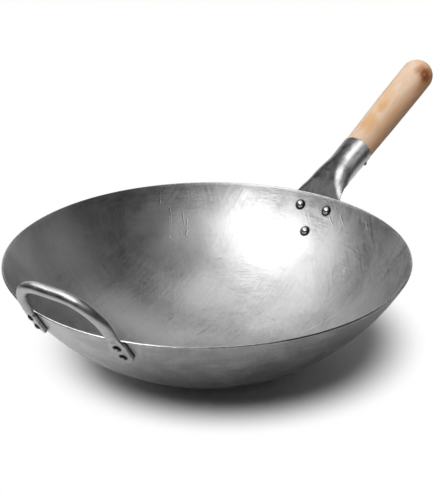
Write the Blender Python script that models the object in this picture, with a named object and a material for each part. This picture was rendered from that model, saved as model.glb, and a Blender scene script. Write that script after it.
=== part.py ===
"""A steel wok: dished bowl, riveted socket handle with a wooden grip, and a helper loop.

Units are metres. +Z is up and +X runs along the long handle. The origin is the middle
of the flat spot that the bowl stands on.
"""

import math

import bmesh
import bpy
from mathutils import Matrix, Vector

# Bowl
DISH_RADIUS = 0.2040            # outer radius of the dished wall
RIM_RADIUS = 0.178              # outer edge of the lip
FLAT_RADIUS = 0.020             # flat spot under the bowl
FLAT_BLEND = 0.135              # radius that eases the flat spot into the wall
BOWL_SHEET = 0.0018             # sheet thickness
LIP_ROUNDING = 0.0005           # rounding of the lip's two edges

# Clearance between pieces that touch
SEAT_GAP = 0.0003

# Handle socket, one sheet. Heights are measured along the sheet, up from the rim
SOCKET_SHEET = 0.0015
PAD_LENGTH = 0.050              # pad on the wall, down from the rim
PAD_FULLNESS = 2.2              # 2 makes the pad's end elliptical, more makes it squarer
RIM_HALF_WIDTH = 0.0244         # at the rim
WAIST_HALF_WIDTH = 0.0148       # at the narrowest place
WAIST_HEIGHT = 0.059            # where the waist lies
MOUTH_HALF_WIDTH = 0.0156       # at the mouth that holds the grip
SEAM_GAP = 0.0008               # between the sheet's edges where the tube is closed
FOLD_RADIUS = 0.009             # corner between face and side at the rim
FOLD_DEPTH = 0.0225             # the sides start to turn this far below the rim
FOLD_HEIGHT = 0.058             # and have come round to a tube at this height
ROUND_HEIGHT = 0.058            # the fold has grown to the tube's radius here
UNWRAP_HEIGHT = 0.018           # the sheet has left the rim's curve here
SOCKET_RISE = 0.0024            # straight stretch just above the rim
SOCKET_BEND = 0.056             # radius of the bend away from the bowl
TUBE_LENGTH = 0.0373            # straight stretch between bend and mouth
HANDLE_SLOPE = math.radians(23.1)

# Wooden grip, measured along its axis from the socket's mouth
GRIP_LENGTH = 0.1420
GRIP_NECK_RADIUS = 0.0149
GRIP_END_RADIUS = 0.0167
TENON_LENGTH = 0.034            # inside the socket
TENON_CHAMFER = 0.0015

# Nail through the socket into the grip
NAIL_INSET = 0.0090             # back from the mouth
NAIL_ANGLE = math.radians(122)  # round the tube from its top
NAIL_SHANK_RADIUS = 0.0009
NAIL_SHANK_LENGTH = 0.009       # below the socket's outer face
NAIL_HEAD_RADIUS = 0.0022
NAIL_HEAD_HEIGHT = 0.0011

# Rivets of the long handle
HANDLE_RIVET_SPACING = 0.0300   # between the upper two
HANDLE_RIVET_DROP = 0.0137      # upper two, down from the rim
HANDLE_RIVET_LOWER = 0.0384     # third one, down from the rim
HANDLE_SHANK_RADIUS = 0.0024
HANDLE_HEAD_RADIUS = 0.0045     # domed head inside the bowl
HANDLE_HEAD_HEIGHT = 0.0028
HANDLE_TAIL_RADIUS = 0.0038     # formed head on the back of the pad
HANDLE_TAIL_HEIGHT = 0.0018

# Helper loop: round bar with both ends forged flat
BAR_RADIUS = 0.004
LOOP_HALF_WIDTH = 0.0428        # middle of the bar, at the legs
LOOP_HEIGHT = 0.0432            # middle of the bar, up from the rim along the loop
LOOP_CORNER = 0.032             # bend radius at the middle of the bar
LOOP_SLOPE = math.radians(60.0)
FOOT_SPACING = 0.0896           # between the middles of the feet
FOOT_LENGTH = 0.0265            # down the wall from the rim
FOOT_WIDTH = 0.015
FOOT_THICKNESS = 0.0034
FOOT_SQUARENESS = 5.0           # exponent of the flat section, 2 is an ellipse
FORGE_LENGTH = 0.009            # stretch over which the bar turns from flat to round

# Rivets of the helper loop
HELPER_RIVET_UPPER = 0.0052     # down from the rim
HELPER_RIVET_LOWER = 0.0172
HELPER_SHANK_RADIUS = 0.0018
HELPER_HEAD_RADIUS = 0.0035     # domed head inside the bowl
HELPER_HEAD_HEIGHT = 0.0020
HELPER_TAIL_RADIUS = 0.0031     # formed head on the foot
HELPER_TAIL_HEIGHT = 0.0016

# Fineness of the round shapes
BOWL_SIDES = 92
WALL_RINGS = 12
BLEND_RINGS = 3
LIP_RINGS = 2
SOCKET_COLUMNS = 26
PAD_ROWS = 8
SOCKET_ROWS = 18
GRIP_SIDES = 32
BAR_SIDES = 16
RIVET_SIDES = 14
DOME_RINGS = 3
SMOOTH_ANGLE = math.radians(35)

# What follows from the driving sizes
DISH_CENTRE = FLAT_BLEND + math.sqrt((DISH_RADIUS - FLAT_BLEND) ** 2 - FLAT_RADIUS ** 2)
RIM_ANGLE = math.asin(RIM_RADIUS / DISH_RADIUS)
RIM_HEIGHT = DISH_CENTRE - DISH_RADIUS * math.cos(RIM_ANGLE)
BEND_LENGTH = (RIM_ANGLE - HANDLE_SLOPE) * SOCKET_BEND
MOUTH_HEIGHT = SOCKET_RISE + BEND_LENGTH + TUBE_LENGTH
MOUTH_RADIUS = MOUTH_HALF_WIDTH - SEAM_GAP / 2


def ease(share):
    """Smooth step from 0 to 1."""
    share = min(max(share, 0.0), 1.0)
    return share * share * (3 - 2 * share)


def mix(start, end, share):
    return start + (end - start) * share


def spread(start, end, count):
    """count + 1 evenly spaced values from start to end."""
    return [mix(start, end, step / count) for step in range(count + 1)]


def add_object(name, mesh, colour, roughness, metallic, matrix=None):
    """Give the mesh a name, a place, smooth shading and a material of its own."""
    material = bpy.data.materials.new(name + "_finish")
    material.use_nodes = True
    shader = material.node_tree.nodes["Principled BSDF"]
    shader.inputs["Base Color"].default_value = (*colour, 1.0)
    shader.inputs["Roughness"].default_value = roughness
    shader.inputs["Metallic"].default_value = metallic
    mesh.materials.append(material)
    mesh.shade_smooth()
    mesh.set_sharp_from_angle(angle=SMOOTH_ANGLE)
    item = bpy.data.objects.new(name, mesh)
    bpy.context.scene.collection.objects.link(item)
    if matrix is not None:
        item.matrix_world = matrix
    return item


def mesh_from(name, build):
    """Fill a new mesh with build(bmesh), with all faces pointing out."""
    shape = bmesh.new()
    build(shape)
    bmesh.ops.recalc_face_normals(shape, faces=shape.faces)
    mesh = bpy.data.meshes.new(name)
    shape.to_mesh(mesh)
    shape.free()
    return mesh


def turned(name, profile, sides):
    """Spin a profile of (radius, height) pairs, both ends on the axis, about Z."""
    def build(shape):
        verts = [shape.verts.new((radius, 0.0, height)) for radius, height in profile]
        edges = [shape.edges.new(pair) for pair in zip(verts, verts[1:])]
        bmesh.ops.spin(shape, geom=verts + edges, cent=(0, 0, 0), axis=(0, 0, 1),
                       angle=2 * math.pi, steps=sides, use_duplicate=False)
        bmesh.ops.remove_doubles(shape, verts=shape.verts, dist=1e-6)
    return mesh_from(name, build)


def lofted(name, rings):
    """Skin closed rings of points one after another and cap both ends."""
    def build(shape):
        rows = [[shape.verts.new(point) for point in ring] for ring in rings]
        count = len(rows[0])
        for low, high in zip(rows, rows[1:]):
            for index in range(count):
                following = (index + 1) % count
                shape.faces.new((low[index], low[following], high[following], high[index]))
        shape.faces.new(rows[0])
        shape.faces.new(rows[-1])
    return mesh_from(name, build)


def dome(radius, height, base, direction, rings):
    """Profile of a domed head, from its edge at base to its top on the axis."""
    cap_radius = (radius ** 2 + height ** 2) / (2 * height)
    half_angle = math.atan2(radius, cap_radius - height)
    top = base + direction * height
    points = []
    for angle in spread(half_angle, 0.0, rings):
        drop = cap_radius * (1 - math.cos(angle))
        points.append((cap_radius * math.sin(angle), top - direction * drop))
    points[-1] = (0.0, top)
    return points


def cut_bore(item, name, matrix, radius, start, end):
    """Cut a round bore along the matrix's Z, from start to end."""
    cutter = bpy.data.objects.get(name)
    if cutter is None:
        profile = [(0.0, start), (radius, start), (radius, end), (0.0, end)]
        cutter = bpy.data.objects.new(name, turned(name, profile, RIVET_SIDES))
        bpy.context.scene.collection.objects.link(cutter)
        cutter.matrix_world = matrix
        cutter.hide_render = True
        cutter.display_type = "WIRE"
    bore = item.modifiers.new(name, "BOOLEAN")
    bore.operation = "DIFFERENCE"
    bore.solver = "EXACT"
    bore.object = cutter


# Places on the bowl

def dish_point(side, lateral, height, offset):
    """Point beside the wall's outer face, and the outward direction there.

    side is 1 for +X and -1 for -X. lateral is the Y coordinate. height is measured
    along the wall from the rim, negative below it.
    """
    slice_radius = math.sqrt(DISH_RADIUS ** 2 - lateral ** 2)
    rim_angle = math.acos(DISH_RADIUS * math.cos(RIM_ANGLE) / slice_radius)
    angle = rim_angle + height / slice_radius
    outward = Vector((side * slice_radius * math.sin(angle), lateral,
                      -slice_radius * math.cos(angle))) / DISH_RADIUS
    centre = Vector((0.0, 0.0, DISH_CENTRE))
    return centre + outward * (DISH_RADIUS + offset), outward


def frame_on_wall(side, lateral, height):
    """Matrix with its origin on the wall's outer face and Z pointing out of the wall."""
    origin, outward = dish_point(side, lateral, height, 0.0)
    return Matrix.Translation(origin) @ outward.to_track_quat("Z", "X").to_matrix().to_4x4()


# Bowl

def wall_profile(offset):
    """Meridian of the wall at an offset inwards, from the axis to below the lip."""
    blend_angle = math.atan2(FLAT_RADIUS, DISH_CENTRE - FLAT_BLEND)
    last_angle = RIM_ANGLE - LIP_ROUNDING / DISH_RADIUS
    points = [(0.0, offset)]
    for angle in spread(0.0, blend_angle, BLEND_RINGS):
        reach = FLAT_BLEND - offset
        points.append((FLAT_RADIUS + reach * math.sin(angle),
                       FLAT_BLEND - reach * math.cos(angle)))
    for angle in spread(blend_angle, last_angle, WALL_RINGS)[1:]:
        reach = DISH_RADIUS - offset
        points.append((reach * math.sin(angle), DISH_CENTRE - reach * math.cos(angle)))
    return points


def lip_profile():
    """Square-cut lip with rounded edges, from the outer face to the inner face."""
    points = []
    for inset, start in ((LIP_ROUNDING, 0.0), (BOWL_SHEET - LIP_ROUNDING, 0.5)):
        for turn in spread(start, start + 0.5, LIP_RINGS):
            below = LIP_ROUNDING * (1 - math.sin(turn * math.pi))
            depth = inset - LIP_ROUNDING * math.cos(turn * math.pi)
            angle = RIM_ANGLE - below / DISH_RADIUS
            reach = DISH_RADIUS - depth
            points.append((reach * math.sin(angle), DISH_CENTRE - reach * math.cos(angle)))
    return points[1:-1]


def make_bowl():
    profile = wall_profile(0.0) + lip_profile() + wall_profile(BOWL_SHEET)[::-1]
    mesh = turned("bowl", profile, BOWL_SIDES)
    return add_object("bowl", mesh, (0.42, 0.42, 0.42), 0.34, 1.0)


# Handle socket

def socket_outline(height):
    """Half width, fold radius and fold angle of the socket's section at a height."""
    if height < 0:
        share = min(-height / PAD_LENGTH, 1.0)
        half_width = RIM_HALF_WIDTH * (1 - share ** PAD_FULLNESS) ** (1 / PAD_FULLNESS)
    else:
        neck = max(1 - height / WAIST_HEIGHT, 0.0) ** 2
        half_width = mix(WAIST_HALF_WIDTH, RIM_HALF_WIDTH, neck)
        flare_start = 0.7 * WAIST_HEIGHT
        flare = ease((height - flare_start) / (MOUTH_HEIGHT - flare_start))
        half_width += (MOUTH_HALF_WIDTH - WAIST_HALF_WIDTH) * flare
    radius = mix(FOLD_RADIUS, MOUTH_RADIUS, ease(height / ROUND_HEIGHT))
    radius = min(radius, half_width - SEAM_GAP / 2)
    fold = math.pi * ease((height + FOLD_DEPTH) / (FOLD_HEIGHT + FOLD_DEPTH))
    return half_width, radius, fold


def socket_line(height):
    """Place and slope of the socket's top line in the plane through both handles."""
    if height <= 0:
        return dish_point(1, 0.0, height, SEAT_GAP)[0], RIM_ANGLE + height / DISH_RADIUS
    point = dish_point(1, 0.0, 0.0, SEAT_GAP)[0]
    rise = min(height, SOCKET_RISE)
    point += rise * Vector((math.cos(RIM_ANGLE), 0.0, math.sin(RIM_ANGLE)))
    turn = min(max(height - SOCKET_RISE, 0.0), BEND_LENGTH) / SOCKET_BEND
    slope = RIM_ANGLE - turn
    point += SOCKET_BEND * Vector((math.sin(RIM_ANGLE) - math.sin(slope), 0.0,
                                   math.cos(slope) - math.cos(RIM_ANGLE)))
    run = max(height - SOCKET_RISE - BEND_LENGTH, 0.0)
    point += run * Vector((math.cos(slope), 0.0, math.sin(slope)))
    return point, slope


def socket_point(height, lateral, drop):
    """Point of the socket's outer face, drop below its top line's face."""
    if height <= 0:
        point, outward = dish_point(1, lateral, height, SEAT_GAP)
        return point + outward * drop
    point, slope = socket_line(height)
    wrap = 1 - ease(height / UNWRAP_HEIGHT)
    setback = dish_point(1, lateral, 0.0, SEAT_GAP)[0] - dish_point(1, 0.0, 0.0, SEAT_GAP)[0]
    sideways = wrap * lateral / DISH_RADIUS
    level = math.sqrt(1 - sideways ** 2)
    outward = Vector((level * math.sin(slope), sideways, -level * math.cos(slope)))
    return point + Vector((wrap * setback.x, lateral, wrap * setback.z)) + outward * drop


def socket_row(height):
    """Points across the sheet's outer face at one height, evenly spaced."""
    half_width, radius, fold = socket_outline(height)
    flat = half_width - radius * math.sin(min(fold, math.pi / 2))
    half_length = flat + radius * fold
    row = []
    for along in spread(-half_length, half_length, SOCKET_COLUMNS):
        turn = max(abs(along) - flat, 0.0) / radius
        lateral = min(abs(along), flat) + radius * math.sin(turn)
        drop = radius * (1 - math.cos(turn))
        row.append(socket_point(height, math.copysign(lateral, along), drop))
    return row


def make_socket():
    """One sheet: pad on the wall, channel over the rim, and a closed tube."""
    pad = [-PAD_LENGTH * math.sin(angle)
           for angle in spread(math.radians(84), 0.0, PAD_ROWS)]
    heights = pad + spread(0.0, MOUTH_HEIGHT, SOCKET_ROWS)[1:]
    shape = bmesh.new()
    rows = [[shape.verts.new(point) for point in socket_row(height)] for height in heights]
    for low, high in zip(rows, rows[1:]):
        for index in range(SOCKET_COLUMNS):
            shape.faces.new((low[index], high[index], high[index + 1], low[index + 1]))
    mesh = bpy.data.meshes.new("handle_socket")
    shape.to_mesh(mesh)
    shape.free()
    item = add_object("handle_socket", mesh, (0.45, 0.45, 0.45), 0.28, 1.0)
    sheet = item.modifiers.new("sheet", "SOLIDIFY")
    sheet.thickness = SOCKET_SHEET
    sheet.offset = -1.0
    sheet.use_even_offset = True
    return item


def tube_frame():
    """Matrix at the middle of the socket's mouth, with Z along the grip."""
    point, slope = socket_line(MOUTH_HEIGHT)
    axis = Vector((math.cos(slope), 0.0, math.sin(slope)))
    down = Vector((math.sin(slope), 0.0, -math.cos(slope)))
    sideways = axis.cross(-down)
    turn = Matrix((-down, sideways, axis)).transposed().to_4x4()
    return Matrix.Translation(point + down * MOUTH_RADIUS) @ turn


# Grip and nail

def tenon_radius(inset):
    """Room for the tenon at a distance back from the mouth."""
    radius = socket_outline(MOUTH_HEIGHT - inset)[1]
    return 2 * radius - MOUTH_RADIUS - SOCKET_SHEET - SEAT_GAP


def make_grip():
    tip = tenon_radius(TENON_LENGTH)
    profile = [(0.0, -TENON_LENGTH), (tip - TENON_CHAMFER, -TENON_LENGTH)]
    for inset in spread(TENON_LENGTH - TENON_CHAMFER, 0.0, 4):
        profile.append((tenon_radius(inset), SEAT_GAP - inset))
    body = GRIP_LENGTH - GRIP_END_RADIUS
    for share in spread(0.0, 1.0, 5):
        swell = math.sin(share * math.pi / 2)
        profile.append((mix(GRIP_NECK_RADIUS, GRIP_END_RADIUS, swell),
                        mix(SEAT_GAP, body, share)))
    for angle in spread(0.0, math.pi / 2, 6)[1:]:
        profile.append((GRIP_END_RADIUS * math.cos(angle),
                        body + GRIP_END_RADIUS * math.sin(angle)))
    profile[-1] = (0.0, GRIP_LENGTH)
    mesh = turned("wood_grip", profile, GRIP_SIDES)
    return add_object("wood_grip", mesh, (0.72, 0.50, 0.33), 0.55, 0.0, tube_frame())


def nail_frame():
    """Matrix on the socket's outer face where the nail goes in, Z pointing out."""
    height = MOUTH_HEIGHT - NAIL_INSET
    half_width, radius, fold = socket_outline(height)
    lateral = half_width - radius + radius * math.sin(NAIL_ANGLE)
    origin = socket_point(height, -lateral, radius * (1 - math.cos(NAIL_ANGLE)))
    slope = socket_line(height)[1]
    up = Vector((-math.sin(slope), 0.0, math.cos(slope)))
    outward = up * math.cos(NAIL_ANGLE) - Vector((0, 1, 0)) * math.sin(NAIL_ANGLE)
    return Matrix.Translation(origin) @ outward.to_track_quat("Z", "X").to_matrix().to_4x4()


def make_nail(socket, grip):
    frame = nail_frame()
    seat = SEAT_GAP
    profile = [(0.0, -NAIL_SHANK_LENGTH), (NAIL_SHANK_RADIUS, -NAIL_SHANK_LENGTH),
               (NAIL_SHANK_RADIUS, seat)]
    profile += dome(NAIL_HEAD_RADIUS, NAIL_HEAD_HEIGHT, seat, 1, DOME_RINGS)
    mesh = turned("grip_nail", profile, RIVET_SIDES)
    add_object("grip_nail", mesh, (0.10, 0.10, 0.10), 0.45, 1.0, frame)
    for item in (socket, grip):
        cut_bore(item, "grip_nail_bore", frame, NAIL_SHANK_RADIUS + SEAT_GAP,
                 -NAIL_SHANK_LENGTH - SEAT_GAP, NAIL_HEAD_RADIUS)


# Rivets

def make_rivet(name, frame, plate, shank, head, tail):
    """A rivet through the bowl's sheet and a plate outside it.

    frame is the place on the wall's outer face. head and tail are (radius, height)
    of the domed head inside the bowl and of the formed head on the plate.
    """
    inner_seat = -BOWL_SHEET - SEAT_GAP
    outer_seat = plate + 2 * SEAT_GAP
    profile = dome(*head, inner_seat, -1, DOME_RINGS)[::-1]
    profile += [(shank, inner_seat), (shank, outer_seat)]
    profile += dome(*tail, outer_seat, 1, DOME_RINGS)
    mesh = turned(name, profile, RIVET_SIDES)
    add_object(name, mesh, (0.50, 0.50, 0.50), 0.25, 1.0, frame)


def fasten(bowl, plate_item, name, place, plate, shank, head, tail):
    """Set a rivet and cut its bore through the bowl and the plate."""
    frame = frame_on_wall(*place)
    make_rivet(name, frame, plate, shank, head, tail)
    reach = plate + BOWL_SHEET + 4 * SEAT_GAP
    for item in (bowl, plate_item):
        cut_bore(item, name + "_bore", frame, shank + SEAT_GAP, -reach, reach)


def make_handle_rivets(bowl, socket):
    half = HANDLE_RIVET_SPACING / 2
    places = (("handle_rivet_left", half, HANDLE_RIVET_DROP),
              ("handle_rivet_right", -half, HANDLE_RIVET_DROP),
              ("handle_rivet_lower", 0.0, HANDLE_RIVET_LOWER))
    for name, lateral, drop in places:
        fasten(bowl, socket, name, (1, lateral, -drop), SOCKET_SHEET, HANDLE_SHANK_RADIUS,
               (HANDLE_HEAD_RADIUS, HANDLE_HEAD_HEIGHT),
               (HANDLE_TAIL_RADIUS, HANDLE_TAIL_HEIGHT))


def make_helper_rivets(bowl, helper):
    for side, lateral in (("left", FOOT_SPACING / 2), ("right", -FOOT_SPACING / 2)):
        for row, drop in (("upper", HELPER_RIVET_UPPER), ("lower", HELPER_RIVET_LOWER)):
            fasten(bowl, helper, f"helper_rivet_{side}_{row}", (-1, lateral, -drop),
                   FOOT_THICKNESS, HELPER_SHANK_RADIUS,
                   (HELPER_HEAD_RADIUS, HELPER_HEAD_HEIGHT),
                   (HELPER_TAIL_RADIUS, HELPER_TAIL_HEIGHT))


# Helper loop

def loop_route():
    """Half of the bar's middle line as (lateral, height), from a foot's end to the top."""
    foot = FOOT_SPACING / 2
    corner_base = LOOP_HEIGHT - LOOP_CORNER
    round_end = [FOOT_WIDTH / 2 * (1 - math.cos(angle))
                 for angle in spread(math.radians(12), math.pi / 2, 5)]
    route = [(foot, inset - FOOT_LENGTH) for inset in round_end]
    route += [(foot, height) for height in spread(-FOOT_LENGTH + FOOT_WIDTH, 0.0, 3)[:-1]]
    legs = spread(0.0, corner_base, 4)
    route += [(mix(foot, LOOP_HALF_WIDTH, ease(height / corner_base)), height)
              for height in legs[:-1]]
    for angle in spread(0.0, math.pi / 2, 9):
        route.append((LOOP_HALF_WIDTH - LOOP_CORNER * (1 - math.cos(angle)),
                      corner_base + LOOP_CORNER * math.sin(angle)))
    return route


def loop_place(lateral, height):
    """Point of the bar's middle line, and the direction out of its face."""
    offset = SEAT_GAP + FOOT_THICKNESS / 2
    if height <= 0:
        return dish_point(-1, lateral, height, offset)
    foot, foot_outward = dish_point(-1, math.copysign(FOOT_SPACING / 2, lateral), 0.0, offset)
    plane_outward = Vector((-math.sin(LOOP_SLOPE), 0.0, -math.cos(LOOP_SLOPE)))
    point = Vector((foot.x - height * math.cos(LOOP_SLOPE), lateral + foot.y
                    - math.copysign(FOOT_SPACING / 2, foot.y),
                    foot.z + height * math.sin(LOOP_SLOPE)))
    turned_over = ease(height / (LOOP_HEIGHT - LOOP_CORNER))
    return point, foot_outward.lerp(plane_outward, turned_over).normalized()


def bar_section(height):
    """Half width, half thickness and squareness of the bar at a height."""
    end = max(FOOT_WIDTH / 2 - (height + FOOT_LENGTH), 0.0)
    half_width = math.sqrt(max((FOOT_WIDTH / 2) ** 2 - end ** 2, 0.0))
    narrow = ease((height + FORGE_LENGTH / 2) / FORGE_LENGTH)
    thicken = ease(height / FORGE_LENGTH)
    return (mix(half_width, BAR_RADIUS, narrow), mix(FOOT_THICKNESS / 2, BAR_RADIUS, thicken),
            mix(FOOT_SQUARENESS, 2.0, narrow))


def make_helper():
    """Round bar bent to a loop, with its ends forged flat to lie on the wall."""
    half = loop_route()
    route = half + [(-lateral, height) for lateral, height in half[::-1]]
    places = [loop_place(lateral, height) for lateral, height in route]
    rings = []
    for index, (point, outward) in enumerate(places):
        before = places[max(index - 1, 0)][0]
        after = places[min(index + 1, len(places) - 1)][0]
        across = (after - before).cross(outward).normalized()
        half_width, half_thickness, squareness = bar_section(route[index][1])
        ring = []
        for step in range(BAR_SIDES):
            angle = 2 * math.pi * step / BAR_SIDES
            wide = math.copysign(abs(math.cos(angle)) ** (2 / squareness), math.cos(angle))
            thick = math.copysign(abs(math.sin(angle)) ** (2 / squareness), math.sin(angle))
            ring.append(point + across * half_width * wide + outward * half_thickness * thick)
        rings.append(ring)
    mesh = lofted("helper_handle", rings)
    return add_object("helper_handle", mesh, (0.40, 0.40, 0.40), 0.30, 1.0)


def clear_scene():
    for item in list(bpy.data.objects):
        bpy.data.objects.remove(item, do_unlink=True)


def main():
    clear_scene()
    bowl = make_bowl()
    socket = make_socket()
    grip = make_grip()
    make_nail(socket, grip)
    helper = make_helper()
    make_handle_rivets(bowl, socket)
    make_helper_rivets(bowl, helper)


main()
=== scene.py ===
# %% [markdown]
# # A steel wok on a white ground
# The real object is one dished sheet of steel, a long handle made of a pressed steel
# socket with a wooden grip in it, and a bent steel loop on the other side, all riveted.
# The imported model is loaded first. It fixes every size and place, so each finer piece
# below is built on the same numbers and then stands in for its plain solid.

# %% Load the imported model
from math import acos, asin, atan2, copysign, cos, pi, radians, sin, sqrt

import bmesh
import bpy
from mathutils import Matrix, Vector, noise


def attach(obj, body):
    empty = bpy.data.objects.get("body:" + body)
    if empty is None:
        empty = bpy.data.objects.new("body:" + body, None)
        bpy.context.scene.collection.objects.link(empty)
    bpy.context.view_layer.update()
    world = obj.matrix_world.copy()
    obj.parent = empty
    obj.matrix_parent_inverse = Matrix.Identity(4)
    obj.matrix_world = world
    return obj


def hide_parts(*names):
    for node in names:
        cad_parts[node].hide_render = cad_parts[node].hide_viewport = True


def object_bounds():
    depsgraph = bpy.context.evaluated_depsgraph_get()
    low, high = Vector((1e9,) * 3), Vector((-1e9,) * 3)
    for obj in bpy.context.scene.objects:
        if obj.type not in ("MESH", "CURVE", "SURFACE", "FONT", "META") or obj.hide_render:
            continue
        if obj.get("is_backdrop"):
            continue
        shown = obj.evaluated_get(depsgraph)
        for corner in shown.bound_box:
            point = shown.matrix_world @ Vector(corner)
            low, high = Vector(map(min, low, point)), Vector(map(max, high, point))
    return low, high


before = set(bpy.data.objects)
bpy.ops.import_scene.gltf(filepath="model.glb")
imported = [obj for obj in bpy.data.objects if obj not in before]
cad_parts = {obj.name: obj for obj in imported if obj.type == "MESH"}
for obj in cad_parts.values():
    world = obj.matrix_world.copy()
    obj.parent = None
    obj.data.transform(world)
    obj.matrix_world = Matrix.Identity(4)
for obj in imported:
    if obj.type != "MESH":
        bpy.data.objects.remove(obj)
cad_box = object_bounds()
scene = bpy.context.scene


def rounded(values):
    return [round(value, 4) for value in values]


print("solids:", ", ".join(sorted(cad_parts)))
print("box of the solids in metres:", *map(rounded, cad_box))

# %% [markdown]
# ## Sizes
# A wok this size is 356 mm across. All lengths are in metres. The bowl is a part of a
# ball with a small flat spot to stand on, so its height follows from its radii.

# %% Sizes of the bowl
DISH_RADIUS = 0.2040
RIM_RADIUS = 0.178
FLAT_RADIUS = 0.020
FLAT_BLEND = 0.135
BOWL_SHEET = 0.0018
LIP_ROUNDING = 0.0005
SEAT_GAP = 0.0003
DISH_CENTRE = FLAT_BLEND + sqrt((DISH_RADIUS - FLAT_BLEND) ** 2 - FLAT_RADIUS ** 2)
DISH_MIDDLE = Vector((0.0, 0.0, DISH_CENTRE))
RIM_ANGLE = asin(RIM_RADIUS / DISH_RADIUS)
RIM_HEIGHT = DISH_CENTRE - DISH_RADIUS * cos(RIM_ANGLE)
print(f"the rim lies {RIM_HEIGHT * 1000:.1f} mm above the table")

# %% Small helpers for shapes
SHARP_ANGLE = radians(50)  # edges that turn further than this stay sharp
MERGE_DISTANCE = 1e-6
DENT_GAIN = 1.2
QUARTER = pi / 2


def ease(share):
    """Smooth step from 0 to 1."""
    share = min(max(share, 0.0), 1.0)
    return share * share * (3 - 2 * share)


def mix(start, end, share):
    return start + (end - start) * share


def spread(start, end, count):
    """count + 1 evenly spaced values from start to end."""
    return [mix(start, end, step / count) for step in range(count + 1)]


def soft_dent(point, size):
    """Smooth unevenness from 0 to 1, with size dents per metre."""
    return ease(abs(noise.noise(point * size)) * DENT_GAIN)


def frame_at(origin, outward):
    """Matrix at a point, with Z pointing outward."""
    return Matrix.Translation(origin) @ outward.to_track_quat("Z", "X").to_matrix().to_4x4()


def set_all(thing, **settings):
    for key, value in settings.items():
        setattr(thing, key, value)
    return thing


def finish_shape(name, shape, matrix=None):
    """Turn a bmesh into a smooth-shaded object. A matrix moves its points in place."""
    if matrix is not None:
        shape.transform(matrix)
    mesh = bpy.data.meshes.new(name)
    shape.to_mesh(mesh)
    shape.free()
    mesh.shade_smooth()
    mesh.set_sharp_from_angle(angle=SHARP_ANGLE)
    item = bpy.data.objects.new(name, mesh)
    scene.collection.objects.link(item)
    print(f"{name}: {len(mesh.polygons)} faces")
    return item


def spin_profile(profile, sides):
    """Spin (radius, height) points, both ends on the axis, into a closed body."""
    shape = bmesh.new()
    verts = [shape.verts.new((radius, 0.0, height)) for radius, height in profile]
    edges = [shape.edges.new(pair) for pair in zip(verts, verts[1:])]
    bmesh.ops.spin(shape, geom=verts + edges, cent=(0, 0, 0), axis=(0, 0, 1),
                   angle=2 * pi, steps=sides, use_duplicate=False)
    bmesh.ops.remove_doubles(shape, verts=shape.verts, dist=MERGE_DISTANCE)
    bmesh.ops.recalc_face_normals(shape, faces=shape.faces)
    return shape


def skin_rows(rows, closed=False):
    """Join each row of points to the next by faces. Closed rows make a capped bar."""
    shape = bmesh.new()
    rows = [[shape.verts.new(point) for point in row] for row in rows]
    for low, high in zip(rows, rows[1:]):
        for index in range(len(low) if closed else len(low) - 1):
            following = (index + 1) % len(low)
            shape.faces.new((low[index], high[index], high[following], low[following]))
    if closed:
        shape.faces.new(rows[0])
        shape.faces.new(rows[-1])
        bmesh.ops.recalc_face_normals(shape, faces=shape.faces)
    return shape


def place(item, *nodes, slot):
    """The piece rides on the one body and hides its plain solid."""
    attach(item, "root")
    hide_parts(*nodes)
    return item


print("a soft step, a quarter of the way:", ease(0.25))

# %% [markdown]
# ## The bowl
# The real bowl is pressed from a flat disc, so it is one even sheet: a profile spun
# round the axis gives just that. Pressed steel never mirrors like a perfect ball, so
# the inner and outer faces are pushed in together by a soft noise of less than half a
# millimetre. It fades out at the lip and at the flat spot, where sizes are exact.

# %% The bowl's profile
BOWL_SIDES = 256
WALL_RINGS = 56
BLEND_RINGS = 8
LIP_RINGS = 5


def on_arc(reach, angle, across, up):
    """(radius, height) of a point on an arc whose centre lies across and up."""
    return across + reach * sin(angle), up - reach * cos(angle)


def wall_points(inset):
    """Meridian of the wall, inset from the outer face, from the axis to the lip."""
    blend_angle = atan2(FLAT_RADIUS, DISH_CENTRE - FLAT_BLEND)
    last_angle = RIM_ANGLE - LIP_ROUNDING / DISH_RADIUS
    points = [(0.0, inset), (FLAT_RADIUS / 2, inset)]
    points += [on_arc(FLAT_BLEND - inset, angle, FLAT_RADIUS, FLAT_BLEND)
               for angle in spread(0.0, blend_angle, BLEND_RINGS)]
    points += [on_arc(DISH_RADIUS - inset, angle, 0.0, DISH_CENTRE)
               for angle in spread(blend_angle, last_angle, WALL_RINGS)[1:]]
    return points


def lip_points():
    """The square-cut lip with its two edges rounded."""
    points = []
    for inset, start in ((LIP_ROUNDING, 0.0), (BOWL_SHEET - LIP_ROUNDING, 0.5)):
        for turn in spread(start, start + 0.5, LIP_RINGS):
            below = LIP_ROUNDING * (1 - sin(turn * pi))
            depth = inset - LIP_ROUNDING * cos(turn * pi)
            points.append(on_arc(DISH_RADIUS - depth, RIM_ANGLE - below / DISH_RADIUS,
                                 0.0, DISH_CENTRE))
    return points[1:-1]


bowl_profile = wall_points(0.0) + lip_points() + wall_points(BOWL_SHEET)[::-1]
print(len(bowl_profile), "points in the bowl's profile")

# %% Spin the bowl and make it a little uneven
WAVE_SIZE = 26.0  # soft dents per metre
WAVE_DEPTH = 0.00035
WAVE_FADES = (0.25, 0.18)  # parts of the height where it fades, below and above


def wall_wave(point):
    """How far the sheet is pushed along its own radius at a point."""
    height = point.z / RIM_HEIGHT
    fade = ease(height / WAVE_FADES[0]) * ease((1 - height) / WAVE_FADES[1])
    return WAVE_DEPTH * fade * soft_dent(point, WAVE_SIZE)


def make_bowl():
    shape = spin_profile(bowl_profile, BOWL_SIDES)
    for vert in shape.verts:
        outward = (vert.co - DISH_MIDDLE).normalized()
        vert.co -= outward * wall_wave(DISH_MIDDLE + outward * DISH_RADIUS)
    return finish_shape("bowl_sheet", shape)


bowl = place(make_bowl(), "bowl", slot="bowl_steel")

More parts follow.
